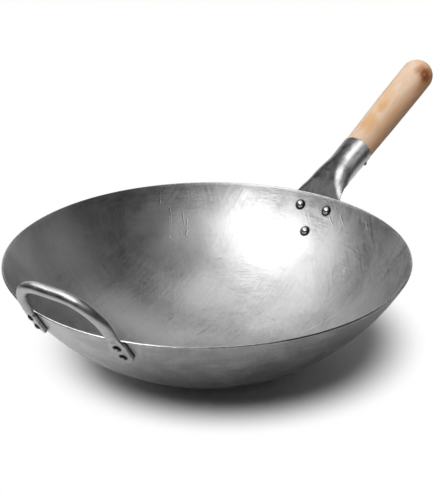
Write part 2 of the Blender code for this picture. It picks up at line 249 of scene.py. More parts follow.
# %% [markdown]
# ## Places on the bowl
# Handles and rivets are set out from the rim, down the slope of the wall. This function
# turns such a measure into a point in space.

# %% Points beside the wall
def dish_point(side, lateral, height, offset):
    """Point beside the wall's outer face, and the direction out of the wall.

    side is 1 at the long handle and -1 at the loop. height is negative below the rim.
    """
    slice_radius = sqrt(DISH_RADIUS ** 2 - lateral ** 2)
    rim_angle = acos(DISH_RADIUS * cos(RIM_ANGLE) / slice_radius)
    angle = rim_angle + height / slice_radius
    outward = Vector((side * slice_radius * sin(angle), lateral,
                      -slice_radius * cos(angle))) / DISH_RADIUS
    return DISH_MIDDLE + outward * (DISH_RADIUS + offset), outward


print("top of the pad:", rounded(dish_point(1, 0.0, 0.0, 0.0)[0]))

# %% [markdown]
# ## The handle socket
# The socket starts as a rounded pad on the outside of the wall. Over the rim its sides
# begin to fold back, the sheet bends away from the bowl, and by the mouth it is rolled
# into a tube. One grid of points follows the sheet: each row is a cross-section, and its
# sides fold further the higher it lies. Modifiers then give the sheet its thickness and
# take the sharpness off its edges.

# %% Sizes of the socket
SOCKET_SHEET = 0.0015
PAD_LENGTH = 0.050
PAD_FULLNESS = 2.2
RIM_HALF_WIDTH = 0.0244
WAIST_HALF_WIDTH = 0.0148
WAIST_HEIGHT = 0.059
FLARE_START = 0.7 * WAIST_HEIGHT
MOUTH_HALF_WIDTH = 0.0156
SEAM_GAP = 0.0008
FOLD_RADIUS = 0.009
FOLD_DEPTH = 0.0225
FOLD_HEIGHT = 0.058
ROUND_HEIGHT = 0.058
UNWRAP_HEIGHT = 0.018
SOCKET_RISE = 0.0024
SOCKET_BEND = 0.056
TUBE_LENGTH = 0.0373
HANDLE_SLOPE = radians(23.1)
BEND_LENGTH = (RIM_ANGLE - HANDLE_SLOPE) * SOCKET_BEND
MOUTH_HEIGHT = SOCKET_RISE + BEND_LENGTH + TUBE_LENGTH
MOUTH_RADIUS = MOUTH_HALF_WIDTH - SEAM_GAP / 2
RIM_POINT = dish_point(1, 0.0, 0.0, SEAT_GAP)[0]
print(f"the sheet runs {MOUTH_HEIGHT * 1000:.1f} mm from the rim to the mouth")

# %% The socket's cross-section
def up_slope(slope):
    """Direction up a slope, in the plane through both handles."""
    return Vector((cos(slope), 0.0, sin(slope)))


def under_slope(slope):
    """Direction square to a slope, out of its under side."""
    return Vector((sin(slope), 0.0, -cos(slope)))


def socket_outline(height):
    """Half width, fold radius and fold angle of the section at a height."""
    if height < 0:
        share = min(-height / PAD_LENGTH, 1.0)
        half_width = RIM_HALF_WIDTH * (1 - share ** PAD_FULLNESS) ** (1 / PAD_FULLNESS)
    else:
        neck = max(1 - height / WAIST_HEIGHT, 0.0) ** 2
        half_width = mix(WAIST_HALF_WIDTH, RIM_HALF_WIDTH, neck)
        flare = ease((height - FLARE_START) / (MOUTH_HEIGHT - FLARE_START))
        half_width += (MOUTH_HALF_WIDTH - WAIST_HALF_WIDTH) * flare
    radius = mix(FOLD_RADIUS, MOUTH_RADIUS, ease(height / ROUND_HEIGHT))
    radius = min(radius, half_width - SEAM_GAP / 2)
    fold = pi * ease((height + FOLD_DEPTH) / (FOLD_HEIGHT + FOLD_DEPTH))
    return half_width, radius, fold


def socket_line(height):
    """Place and slope of the socket's top line, in the plane through both handles."""
    if height <= 0:
        return dish_point(1, 0.0, height, SEAT_GAP)[0], RIM_ANGLE + height / DISH_RADIUS
    slope = RIM_ANGLE - min(max(height - SOCKET_RISE, 0.0), BEND_LENGTH) / SOCKET_BEND
    point = RIM_POINT + min(height, SOCKET_RISE) * up_slope(RIM_ANGLE)
    point += SOCKET_BEND * Vector((sin(RIM_ANGLE) - sin(slope), 0.0,
                                   cos(slope) - cos(RIM_ANGLE)))
    point += max(height - SOCKET_RISE - BEND_LENGTH, 0.0) * up_slope(slope)
    return point, slope


def socket_point(height, lateral, drop):
    """Point of the socket's outer face, drop below its top line's face."""
    if height <= 0:
        point, outward = dish_point(1, lateral, height, SEAT_GAP)
        return point + outward * drop
    point, slope = socket_line(height)
    wrap = 1 - ease(height / UNWRAP_HEIGHT)
    setback = dish_point(1, lateral, 0.0, SEAT_GAP)[0] - RIM_POINT
    sideways = wrap * lateral / DISH_RADIUS
    level = sqrt(1 - sideways ** 2)
    outward = Vector((level * sin(slope), sideways, -level * cos(slope)))
    return point + Vector((wrap * setback.x, lateral, wrap * setback.z)) + outward * drop


print("section at the rim:", rounded(socket_outline(0.0)))

# %% The socket's sheet
SOCKET_COLUMNS = 72
PAD_ROWS = 28
PAD_TIP = radians(84)  # the pad's rows stop just short of its tip
SOCKET_ROWS = 64
PRESS_SIZE = 45.0  # soft pressing marks per metre
PRESS_DEPTH = 0.00008
PRESS_FADES = (0.01, 0.03)  # lengths where they fade, from the rim and to the mouth
PRESS_SEED = 0.3
EDGE_WEAR = 0.0003


def socket_row(height):
    """Points across the sheet's outer face at one height."""
    half_width, radius, fold = socket_outline(height)
    flat = half_width - radius * sin(min(fold, QUARTER))
    half_length = flat + radius * fold
    fade = ease(height / PRESS_FADES[0]) * ease((MOUTH_HEIGHT - height) / PRESS_FADES[1])
    row = []
    for along in spread(-half_length, half_length, SOCKET_COLUMNS):
        turn = max(abs(along) - flat, 0.0) / radius
        lateral = min(abs(along), flat) + radius * sin(turn)
        drop = radius * (1 - cos(turn))
        mark = soft_dent(Vector((along, height, PRESS_SEED)), PRESS_SIZE)
        drop += PRESS_DEPTH * fade * mark
        row.append(socket_point(height, copysign(lateral, along), drop))
    return row


def make_socket():
    heights = [-PAD_LENGTH * sin(angle) for angle in spread(PAD_TIP, 0.0, PAD_ROWS)]
    heights += spread(0.0, MOUTH_HEIGHT, SOCKET_ROWS)[1:]
    shape = skin_rows([socket_row(height) for height in heights])
    item = finish_shape("socket_sheet", shape)
    set_all(item.modifiers.new("thickness", "SOLIDIFY"), thickness=SOCKET_SHEET,
            offset=-1.0, use_even_offset=True)
    set_all(item.modifiers.new("worn_edges", "BEVEL"), width=EDGE_WEAR, segments=3,
            limit_method="ANGLE", angle_limit=radians(60))
    return item


socket = place(make_socket(), "handle_socket", slot="socket_steel")

# %% [markdown]
# ## The wooden grip
# The grip is turned on a lathe, so it is a spun profile too: a tenon that goes into the
# socket, a neck, a slow swell and a half-round end. Its own Z runs along the grip,
# which makes it easy to let the grain follow it later.

# %% Sizes and place of the grip
GRIP_LENGTH = 0.1420
GRIP_NECK_RADIUS = 0.0149
GRIP_END_RADIUS = 0.0167
TENON_LENGTH = 0.034
TENON_CHAMFER = 0.0015
GRIP_SIDES = 96


def mouth_frame():
    """Matrix at the middle of the socket's mouth, with Z along the grip."""
    point, slope = socket_line(MOUTH_HEIGHT)
    axis, down = up_slope(slope), under_slope(slope)
    turn = Matrix((-down, axis.cross(-down), axis)).transposed().to_4x4()
    return Matrix.Translation(point + down * MOUTH_RADIUS) @ turn


def tenon_radius(inset):
    """Room for the tenon at a distance back from the mouth."""
    radius = socket_outline(MOUTH_HEIGHT - inset)[1]
    return 2 * radius - MOUTH_RADIUS - SOCKET_SHEET - SEAT_GAP


print("middle of the mouth:", rounded(mouth_frame().translation))

# %% Turn the grip
SHOULDER = 0.0006  # small rounding where the grip meets the socket
TENON_RINGS, SHOULDER_RINGS, BODY_RINGS, END_RINGS = 10, 4, 48, 20
TURNING_SIZE = 60.0  # soft dents per metre round the grip
TURNING_STRETCH = 3  # how much longer they are along it
TURNING_DEPTH = 0.00012
TURNING_MARGIN = 0.004  # none so close to the socket and the end


def grip_profile():
    tip = tenon_radius(TENON_LENGTH)
    points = [(0.0, -TENON_LENGTH), (tip - TENON_CHAMFER, -TENON_LENGTH)]
    for inset in spread(TENON_LENGTH - TENON_CHAMFER, 0.0, TENON_RINGS):
        points.append((tenon_radius(inset), SEAT_GAP - inset))
    for angle in spread(0.0, QUARTER, SHOULDER_RINGS):
        points.append((GRIP_NECK_RADIUS - SHOULDER * (1 - sin(angle)),
                       SEAT_GAP + SHOULDER * (1 - cos(angle))))
    body = GRIP_LENGTH - GRIP_END_RADIUS
    for share in spread(0.0, 1.0, BODY_RINGS)[1:]:
        swell = sin(share * QUARTER)
        points.append((mix(GRIP_NECK_RADIUS, GRIP_END_RADIUS, swell),
                       mix(SEAT_GAP + SHOULDER, body, share)))
    for angle in spread(0.0, QUARTER, END_RINGS)[1:]:
        points.append((GRIP_END_RADIUS * cos(angle), body + GRIP_END_RADIUS * sin(angle)))
    points[-1] = (0.0, GRIP_LENGTH)
    return points


def make_grip():
    shape = spin_profile(grip_profile(), GRIP_SIDES)
    for vert in shape.verts:
        x, y, z = vert.co
        if TURNING_MARGIN < z < GRIP_LENGTH - TURNING_MARGIN:
            wobble = soft_dent(Vector((x, y, z / TURNING_STRETCH)), TURNING_SIZE)
            vert.co -= Vector((x, y, 0.0)).normalized() * TURNING_DEPTH * wobble
    return finish_shape("turned_grip", shape, mouth_frame())


grip = place(make_grip(), "wood_grip", slot="grip_wood")

# %% [markdown]
# ## The nail
# One small dark nail goes through the socket into the wood, low on its side and close
# to the mouth. It is a spun profile with a domed head and a plain shank.

# %% Make the nail
NAIL_INSET = 0.0090
NAIL_ANGLE = radians(122)
NAIL_SHANK_RADIUS = 0.0009
NAIL_SHANK_LENGTH = 0.009
NAIL_HEAD = (0.0022, 0.0011)  # radius and height
NAIL_SIDES, NAIL_RINGS = 32, 8


def dome(radius, height, base, direction, rings):
    """Profile of a domed head, from its edge at base to its top on the axis."""
    cap_radius = (radius ** 2 + height ** 2) / (2 * height)
    half_angle = atan2(radius, cap_radius - height)
    top = base + direction * height
    points = []
    for angle in spread(half_angle, 0.0, rings):
        drop = cap_radius * (1 - cos(angle))
        points.append((cap_radius * sin(angle), top - direction * drop))
    points[-1] = (0.0, top)
    return points


def nail_frame():
    """Matrix on the socket's outer face where the nail goes in, Z pointing out."""
    height = MOUTH_HEIGHT - NAIL_INSET
    half_width, radius = socket_outline(height)[:2]
    lateral = half_width - radius + radius * sin(NAIL_ANGLE)
    origin = socket_point(height, -lateral, radius * (1 - cos(NAIL_ANGLE)))
    up = -under_slope(socket_line(height)[1])
    outward = up * cos(NAIL_ANGLE) - Vector((0, 1, 0)) * sin(NAIL_ANGLE)
    return frame_at(origin, outward)


nail_profile = [(0.0, -NAIL_SHANK_LENGTH), (NAIL_SHANK_RADIUS, -NAIL_SHANK_LENGTH),
                (NAIL_SHANK_RADIUS, SEAT_GAP)]
nail_profile += dome(*NAIL_HEAD, SEAT_GAP, 1, NAIL_RINGS)
nail = finish_shape("nail", spin_profile(nail_profile, NAIL_SIDES), nail_frame())
place(nail, "grip_nail", slot="nail_steel")

# %% [markdown]
# ## The helper loop
# The loop is a round bar, bent twice, with both ends forged flat so that they lie on
# the wall. It is a loft: rings of points follow the bar's middle line, from a flat
# rounded section at the foot to a circle above the rim. A soft noise stands for the
# hammer, which leaves the feet slightly uneven.
#
# The photograph's bar is 9.8 mm thick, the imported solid's 8 mm. The thicker bar is
# shifted a little, so that its outside stays in place.

# %% Sizes of the loop
BAR_RADIUS = 0.0049
BAR_SHIFT = Vector((0.0009, -0.0005, 0.0004))  # of the bar's middle line above the feet
LOOP_HALF_WIDTH = 0.0428
LOOP_HEIGHT = 0.0432
LOOP_CORNER = 0.032
LOOP_SLOPE = radians(60.0)
FOOT_SPACING = 0.0896
FOOT_LENGTH = 0.0265
FOOT_WIDTH = 0.015
FOOT_THICKNESS = 0.0034
FOOT_SQUARENESS = 8.0
FOOT_TIP = radians(5)  # the foot's rings start just short of its tip
FORGE_LENGTH = 0.009
BAR_SIDES = 40
FOOT_RINGS, CORNER_RINGS, TOP_RINGS = 14, 30, 6


def loop_route():
    """Half of the bar's middle line as (lateral, height), from a foot to the top."""
    foot = FOOT_SPACING / 2
    corner_base = LOOP_HEIGHT - LOOP_CORNER
    route = [(foot, FOOT_WIDTH / 2 * (1 - cos(angle)) - FOOT_LENGTH)
             for angle in spread(FOOT_TIP, QUARTER, FOOT_RINGS)]
    route += [(foot, height)
              for height in spread(-FOOT_LENGTH + FOOT_WIDTH / 2, 0.0, FOOT_RINGS)[1:-1]]
    route += [(mix(foot, LOOP_HALF_WIDTH, ease(height / corner_base)), height)
              for height in spread(0.0, corner_base, FOOT_RINGS)[:-1]]
    route += [(LOOP_HALF_WIDTH - LOOP_CORNER * (1 - cos(angle)),
               corner_base + LOOP_CORNER * sin(angle))
              for angle in spread(0.0, QUARTER, CORNER_RINGS)]
    route += [(lateral, LOOP_HEIGHT)
              for lateral in spread(LOOP_HALF_WIDTH - LOOP_CORNER, 0.0, TOP_RINGS)[1:-1]]
    return route


def loop_place(lateral, height):
    """Point of the bar's middle line, and the direction out of its face."""
    offset = SEAT_GAP + FOOT_THICKNESS / 2
    if height <= 0:
        return dish_point(-1, lateral, height, offset)
    foot_lateral = copysign(FOOT_SPACING / 2, lateral)
    foot, foot_outward = dish_point(-1, foot_lateral, 0.0, offset)
    plane_outward = Vector((-sin(LOOP_SLOPE), 0.0, -cos(LOOP_SLOPE)))
    point = Vector((foot.x - height * cos(LOOP_SLOPE), lateral + foot.y - foot_lateral,
                    foot.z + height * sin(LOOP_SLOPE)))
    turned_over = ease(height / (LOOP_HEIGHT - LOOP_CORNER))
    return (point + BAR_SHIFT * turned_over,
            foot_outward.lerp(plane_outward, turned_over).normalized())


def bar_section(height):
    """Half width, half thickness and squareness of the bar at a height."""
    end = max(FOOT_WIDTH / 2 - (height + FOOT_LENGTH), 0.0)
    half_width = sqrt(max((FOOT_WIDTH / 2) ** 2 - end ** 2, 0.0))
    narrow = ease((height + FORGE_LENGTH / 2) / FORGE_LENGTH)
    thicken = ease(height / FORGE_LENGTH)
    return (mix(half_width, BAR_RADIUS, narrow), mix(FOOT_THICKNESS / 2, BAR_RADIUS, thicken),
            mix(FOOT_SQUARENESS, 2.0, narrow))


print("points along half of the loop:", len(loop_route()))

# %% Loft the loop
FORGE_SIZE = 80.0  # soft hammer marks per metre
FORGE_DEPTH = 0.00018


def squared(value, squareness):
    """A sine or cosine, pushed toward 1 or -1 for a squarer ring."""
    return copysign(abs(value) ** (2 / squareness), value)


def bar_ring(point, across, outward, section):
    """One ring of points of the given section, set square to the bar."""
    half_width, half_thickness, squareness = section
    ring = []
    for step in range(BAR_SIDES):
        angle = 2 * pi * step / BAR_SIDES
        offset = (half_width * across * squared(cos(angle), squareness)
                  + half_thickness * outward * squared(sin(angle), squareness))
        dent = FORGE_DEPTH * soft_dent(point + offset, FORGE_SIZE)
        ring.append(point + offset * (1 - dent / max(offset.length, 0.001)))
    return ring


def make_loop():
    half = loop_route()
    route = half + [(0.0, LOOP_HEIGHT)] + [(-lateral, height) for lateral, height in half[::-1]]
    places = [loop_place(lateral, height) for lateral, height in route]
    rings = []
    for index, (point, outward) in enumerate(places):
        before = places[max(index - 1, 0)][0]
        after = places[min(index + 1, len(places) - 1)][0]
        across = (after - before).cross(outward).normalized()
        rings.append(bar_ring(point, across, outward, bar_section(route[index][1])))
    return finish_shape("helper_loop", skin_rows(rings, closed=True))


loop = place(make_loop(), "helper_handle", slot="helper_steel")

# %% [markdown]
# ## The rivets
# Seven rivets hold the handles. Each is one spun body: a domed head inside the bowl, a
# shank through the wall and the plate, and a formed head outside. The formed heads were
# hammered over cold, so they are smaller and flatter than the domes.

# %% Sizes of the rivets
# how far each is off the middle and down from the rim
HANDLE_RIVETS = {
    "handle_rivet_left": (0.0150, 0.0137),
    "handle_rivet_right": (-0.0150, 0.0137),
    "handle_rivet_lower": (0.0, 0.0384)}
HELPER_RIVETS = {
    f"helper_rivet_{side}_{row}": (lateral, drop)
    for side, lateral in (("left", 0.0448), ("right", -0.0448))
    for row, drop in (("upper", 0.0052), ("lower", 0.0172))}
# radius of the shank, then radius and height of the head and of the formed head
HANDLE_SHANK, HANDLE_HEAD, HANDLE_TAIL = 0.0024, (0.0045, 0.0028), (0.0038, 0.0018)
HELPER_SHANK, HELPER_HEAD, HELPER_TAIL = 0.0018, (0.0035, 0.0020), (0.0031, 0.0016)
RIVET_SIDES, RIVET_RINGS = 48, 12


def rivet_profile(plate, shank, head, tail):
    """Head inside the bowl, shank, and formed head on the plate."""
    inner_seat = -BOWL_SHEET - SEAT_GAP
    outer_seat = plate + 2 * SEAT_GAP
    points = dome(*head, inner_seat, -1, RIVET_RINGS)[::-1]
    points += [(shank, inner_seat), (shank, outer_seat)]
    return points + dome(*tail, outer_seat, 1, RIVET_RINGS)


def make_rivets(places, side, slot, *sizes):
    for name, (lateral, drop) in places.items():
        shape = spin_profile(rivet_profile(*sizes), RIVET_SIDES)
        matrix = frame_at(*dish_point(side, lateral, -drop, 0.0))
        yield place(finish_shape(name + "_piece", shape, matrix), name, slot=slot)


handle_rivets = list(make_rivets(HANDLE_RIVETS, 1, "handle_rivet_steel", SOCKET_SHEET,
                                 HANDLE_SHANK, HANDLE_HEAD, HANDLE_TAIL))
helper_rivets = list(make_rivets(HELPER_RIVETS, -1, "helper_rivet_steel", FOOT_THICKNESS,
                                 HELPER_SHANK, HELPER_HEAD, HELPER_TAIL))

# %% [markdown]
# ## Building materials from nodes
# Every finish below is made of nodes. Each method of this small class adds one node or
# two, connects or sets their inputs, and hands back the output.

# %% A short way to add nodes
class NodeMaker:
    """Short names for the nodes that a finish or the room needs."""

    def __init__(self, tree):
        self.tree = tree
        self.count = 0

    def feed(self, socket, value):
        if isinstance(value, bpy.types.NodeSocket):
            self.tree.links.new(value, socket)
        else:
            socket.default_value = value

    def add(self, kind, values=(), **settings):
        """Add a shader node. values are outputs to connect or numbers, by input."""
        item = set_all(self.tree.nodes.new("ShaderNode" + kind), **settings)
        item.location = (180 * (self.count % 8) - 1800, 900 - 200 * (self.count // 8))
        self.count += 1
        for key, value in dict(values).items():
            self.feed(item.inputs[key], value)
        return item

    def maths(self, operation, *values, clamp=False):
        return self.add("Math", enumerate(values), operation=operation,
                        use_clamp=clamp).outputs[0]

    def times(self, *values):
        """The product of two values, plus a third if there is one."""
        return self.maths("MULTIPLY_ADD" if len(values) == 3 else "MULTIPLY", *values)

    def swing(self, value, gain):
        """Bring a value that lies round a half to lie round 0."""
        return self.times(self.maths("SUBTRACT", value, 0.5), gain)

    def vectors(self, operation, *values):
        item = self.add("VectorMath", enumerate(values), operation=operation)
        number = operation in ("LENGTH", "DISTANCE", "DOT_PRODUCT")
        return item.outputs["Value" if number else "Vector"]

    def split(self, vector):
        return self.add("SeparateXYZ", {0: vector}).outputs

    def join(self, *values):
        return self.add("CombineXYZ", enumerate(values)).outputs[0]

    def noise(self, vector, scale, *texture):
        """Noise with a detail, roughness and distortion. Three scales stretch it."""
        if isinstance(scale, tuple):
            vector, scale = self.vectors("MULTIPLY", vector, scale), 1.0
        names = ("Vector", "Scale", "Detail", "Roughness", "Distortion")
        values = zip(names, (vector, scale, *texture))
        return self.add("TexNoise", values).outputs["Fac"]

    def remap(self, *values):
        """Smooth step of a value between two limits, to 0 and 1 or to two more."""
        names = ("Value", "From Min", "From Max", "To Min", "To Max")
        return self.add("MapRange", zip(names, values),
                        interpolation_type="SMOOTHSTEP").outputs["Result"]

    def blend(self, share, first, second):
        return self.add("Mix", {0: share, 6: first, 7: second}, data_type="RGBA").outputs[2]

    def tint(self, colour, mask, strength, tone):
        """Lay a tone over a colour where a mask is 1, at a strength."""
        return self.blend(self.times(mask, strength), colour, tone)

    def bump(self, *values):
        """Relief from a height, strength and distance, on another relief if given."""
        names = ("Height", "Strength", "Distance", "Normal")
        return self.add("Bump", zip(names, values)).outputs["Normal"]


class Finish(NodeMaker):
    """A new material. spot is the place on the piece, as seen from a matrix if given."""

    def __init__(self, name, matrix=None):
        self.material = bpy.data.materials.new(name)
        self.material.use_nodes = True
        super().__init__(self.material.node_tree)
        self.shader = self.tree.nodes["Principled BSDF"]
        self.spot = self.add("TexCoord").outputs["Object"]
        if matrix is not None:
            values = {0: self.spot, "Location": matrix.to_translation(),
                      "Rotation": matrix.to_euler()}
            self.spot = self.add("Mapping", values, vector_type="TEXTURE").outputs[0]

    def away(self, place):
        return self.vectors("DISTANCE", self.spot, place)

    def surface(self, **inputs):
        """Connect or set inputs of the surface shader, with _ for a space."""
        for name, value in inputs.items():
            self.feed(self.shader.inputs[name.replace("_", " ")], value)

    def wear(self, item):
        item.data.materials.clear()
        item.data.materials.append(self.material)


def grey(tone, blue=0.0):
    return (tone, tone, tone + blue, 1.0)


print("the node helper is ready")

# %% [markdown]
# ## Steel that has been polished by machine
# A bare steel wok is never a clean mirror. A rotating pad leaves fine arcs that cross,
# the press leaves rings round the axis, and oil and handling leave cloudy patches. Here
# an arc pattern is a noise that is fine across the distance from some centre and coarse
# along the arc. The bottom was also rubbed in long strokes, one place on the wall is
# calmer, the outside is coarser, and there are a few stains and scratches. Painted light
# is laid in the colour too: a painted highlight that carries the bright reflection up to
# the rim, painted shade on the wall beside the rivets, and painted shade round the
# rivets' heads.

# %% Streaks round a centre
def arc_streaks(mat, centre, fineness, along, seed):
    """Streaks that bend round a centre: fine across the arc, long along it."""
    offset = mat.vectors("SUBTRACT", mat.spot, centre)
    direction = mat.split(mat.vectors("NORMALIZE", offset))
    line = mat.join(mat.times(mat.vectors("LENGTH", offset), fineness),
                    mat.times(direction[0], along, seed),
                    mat.times(direction[1], along))
    return mat.noise(line, 1.0, 3.0, 0.62)


def scratch_mask(mat, start, end, width):
    """1 on a thin straight scratch from start to end, 0 away from it."""
    run = Vector(end) - Vector(start)
    offset = mat.vectors("SUBTRACT", mat.spot, start)
    share = mat.maths("DIVIDE", mat.vectors("DOT_PRODUCT", offset, run),
                      run.length_squared, clamp=True)
    scaled = mat.add("VectorMath", {0: run, "Scale": share}, operation="SCALE").outputs[0]
    taper = mat.times(mat.maths("PINGPONG", share, 0.5), 1.4, 0.3)
    return mat.remap(mat.vectors("DISTANCE", offset, scaled), 0.0,
                     mat.times(taper, width), 1.0, 0.0)


def painted_rivet_shade_mask(mat, centres, start, end):
    """Painted shade mask: 0 up to start from the nearest rivet's seat, 1 from end on."""
    nearest = 1.0
    for centre in centres:
        nearest = mat.maths("MINIMUM", mat.away(centre), nearest)
    return mat.remap(nearest, start, end)


def seats(rivets, side, offset):
    """Middle of each rivet's seat, at an offset out of the bowl's outer face."""
    return [dish_point(side, lateral, -drop, offset)[0] for lateral, drop in rivets.values()]


HEAD_SEATS = seats(HANDLE_RIVETS, 1, -BOWL_SHEET - SEAT_GAP)
HELPER_HEAD_SEATS = seats(HELPER_RIVETS, -1, -BOWL_SHEET - SEAT_GAP)
HELPER_TAIL_SEATS = seats(HELPER_RIVETS, -1, FOOT_THICKNESS + 2 * SEAT_GAP)
# painted shade: the dark where a rivet's head meets the steel round it
PAINTED_CREASE_SHADE = grey(0.025)
print("seats of the rivets' heads:", len(HEAD_SEATS) + len(HELPER_HEAD_SEATS))

# %% Values for the bowl's finish
STEEL_DARK, STEEL_GREY, STEEL_LIGHT, STEEL_BRIGHT = (
    grey(tone, 0.002) for tone in (0.17, 0.31, 0.51, 0.75))
BOWL_ROUGHNESS = (0.34, 0.39)
LIP_ROUGHNESS = 0.18
CLOUD_RANGE = (0.25, 0.75)
CLOUD_REACH = 0.22  # how far the clouds move the tone
PAINTED_SHADE_REACH = (0.0002, 0.0014)  # painted shade from a rivet's head, out to unshaded steel
OUTSIDE_GAIN = 1.8  # the outside is polished more coarsely
OUTSIDE_DEPTH = 0.0004  # and starts this far below the outer face
CALM_PLACE = (0.0431, 0.1296, 0.0519)  # round here the polish is smoother
CALM_REACH = (0.050, 0.120)
CALM_SHARE = 0.60
# centre of each set of rings or arcs, how fine it is across and how long along
POLISH_ARCS = (
    ((0.0, 0.0, 0.0), 190.0, 7.0), ((0.0, 0.0, 0.0), 520.0, 14.0),
    ((0.21, 0.10, 0.05), 330.0, 16.0), ((-0.10, 0.20, 0.10), 460.0, 14.0),
    ((0.05, -0.26, 0.10), 400.0, 13.0))
RUBBING = ((0.06, -0.90, 0.10), 520.0, 30.0)  # long marks across the bottom only
RUBBED_TO = (0.025, 0.060)
# start, end, width and strength of each stain; the last one is painted shade on the wall beside
# the rivets
STAINS_AND_PAINTED_SHADE = (
    ((0.1180, -0.1323, 0.1030), (0.0963, -0.1113, 0.0644), 0.0130, 0.50),
    ((0.1240, -0.1180, 0.0900), (0.1080, -0.1080, 0.0670), 0.0090, 0.30),
    ((0.1637, -0.0647, 0.0990), (0.1543, -0.0645, 0.0860), 0.0060, 0.30),
    ((0.0877, 0.1496, 0.0950), (0.1130, 0.1290, 0.0960), 0.0070, 0.25),
    ((0.1641, 0.0418, 0.0906), (0.1660, 0.0300, 0.0900), 0.0150, 0.50),
    ((0.1689, 0.0155, 0.0960), (0.1700, -0.0200, 0.0960), 0.0140, 0.60))
# the same for bright marks: the first two are a bright streak low on the wall, the last is a
# painted highlight that carries the bright reflection up to the rim
BRIGHT_STREAK_AND_PAINTED_HIGHLIGHT = (
    ((0.0594, -0.0599, 0.0172), (0.0722, -0.0750, 0.0276), 0.0030, 0.35),
    ((0.0722, -0.0750, 0.0276), (0.0858, -0.0904, 0.0418), 0.0028, 0.45),
    ((0.1569, 0.0729, 0.0964), (0.1533, 0.0679, 0.0881), 0.0160, 0.30))
# start, end and width of each scratch
SCRATCHES = (
    ((0.1043, 0.1385, 0.0970), (0.0980, 0.1337, 0.0852), 0.0009),
    ((0.1003, 0.1244, 0.0771), (0.0877, 0.1134, 0.0585), 0.0008),
    ((0.1125, 0.1176, 0.0811), (0.1051, 0.1095, 0.0674), 0.0010),
    ((0.1103, 0.1098, 0.0720), (0.0964, 0.1005, 0.0544), 0.0011),
    ((0.1050, 0.1267, 0.0835), (0.0976, 0.1198, 0.0706), 0.0009),
    ((0.1029, 0.0687, 0.0411), (0.1093, 0.0637, 0.0433), 0.0009),
    ((0.0193, 0.0633, 0.0100), (0.0285, 0.0622, 0.0108), 0.0010),
    ((0.0181, 0.0316, 0.0022), (0.0478, 0.0285, 0.0066), 0.0012),
    ((0.0448, 0.0064, 0.0040), (0.0527, 0.0031, 0.0059), 0.0010),
    ((0.0739, 0.0000, 0.0129), (0.0806, -0.0045, 0.0157), 0.0010),
    ((0.1684, -0.0172, 0.0904), (0.1604, -0.0282, 0.0812), 0.0011),
    ((0.1674, -0.0313, 0.0920), (0.1600, -0.0407, 0.0843), 0.0009),
    ((0.1597, -0.0647, 0.0953), (0.1526, -0.0714, 0.0892), 0.0009))
print(len(STAINS_AND_PAINTED_SHADE) + len(BRIGHT_STREAK_AND_PAINTED_HIGHLIGHT), "stains and", len(SCRATCHES), "scratches")

# %% Finish of the bowl
def polish_marks(mat):
    """Rings and crossing arcs of the polishing pad, about 0 on average."""
    streaks = 0.0
    for index, arc in enumerate(POLISH_ARCS):
        moved = mat.vectors("ADD", mat.spot, (index, 0.0, 0.0))
        patch = mat.remap(mat.noise(moved, 19.0, 3.0), 0.42, 0.64, 0.08, 1.0)
        lines = mat.swing(arc_streaks(mat, *arc, 7.3 * index), patch)
        streaks = mat.maths("ADD", streaks, lines)
    low_down = mat.remap(mat.split(mat.spot)[2], *RUBBED_TO, 0.8, 0.0)
    lines = mat.swing(arc_streaks(mat, *RUBBING, 51.0), low_down)
    return mat.maths("ADD", streaks, lines)


def scratch_marks(mat):
    """All scratches, broken up by a fine noise."""
    marks = 0.0
    for scratch in SCRATCHES:
        marks = mat.maths("MAXIMUM", marks, scratch_mask(mat, *scratch))
    return mat.times(marks, mat.remap(mat.noise(mat.spot, 420.0), 0.30, 0.52))


def lip_mask(mat):
    """1 on the cut face of the lip, 0 on the wall."""
    outward = mat.vectors("SUBTRACT", mat.spot, DISH_MIDDLE)
    height = mat.split(mat.vectors("NORMALIZE", outward))[2]
    edge = [-cos(RIM_ANGLE - LIP_ROUNDING * part / DISH_RADIUS) for part in (1.0, 0.3)]
    return mat.remap(height, *edge)


def bowl_colour(mat, tone, marks):
    """Grey steel with stains, scratches and a bright streak; painted shade beside the rivets
    and round their heads, and a painted highlight at the rim.
    """
    colour = mat.blend(tone, STEEL_GREY, STEEL_LIGHT)
    ragged = mat.remap(mat.noise(mat.spot, 170.0, 4.0, 0.6), 0.30, 0.62)
    # stains darken and bright marks lighten the steel; among them are painted shade and a
    # painted highlight
    for stains_and_paint, stain_and_paint_tone in ((STAINS_AND_PAINTED_SHADE, STEEL_DARK), (BRIGHT_STREAK_AND_PAINTED_HIGHLIGHT, STEEL_BRIGHT)):
        for *stain_and_paint_span, strength in stains_and_paint:
            mask = mat.times(scratch_mask(mat, *stain_and_paint_span), ragged)
            colour = mat.tint(colour, mask, strength, stain_and_paint_tone)
    colour = mat.tint(colour, marks, 0.75, STEEL_DARK)
    # painted shade round the rivets' heads on the bowl
    for centres, head in ((HEAD_SEATS, HANDLE_HEAD), (HELPER_HEAD_SEATS, HELPER_HEAD)):
        unshaded = painted_rivet_shade_mask(mat, centres, *(head[0] + v for v in PAINTED_SHADE_REACH))
        colour = mat.blend(unshaded, PAINTED_CREASE_SHADE, colour)
    return colour


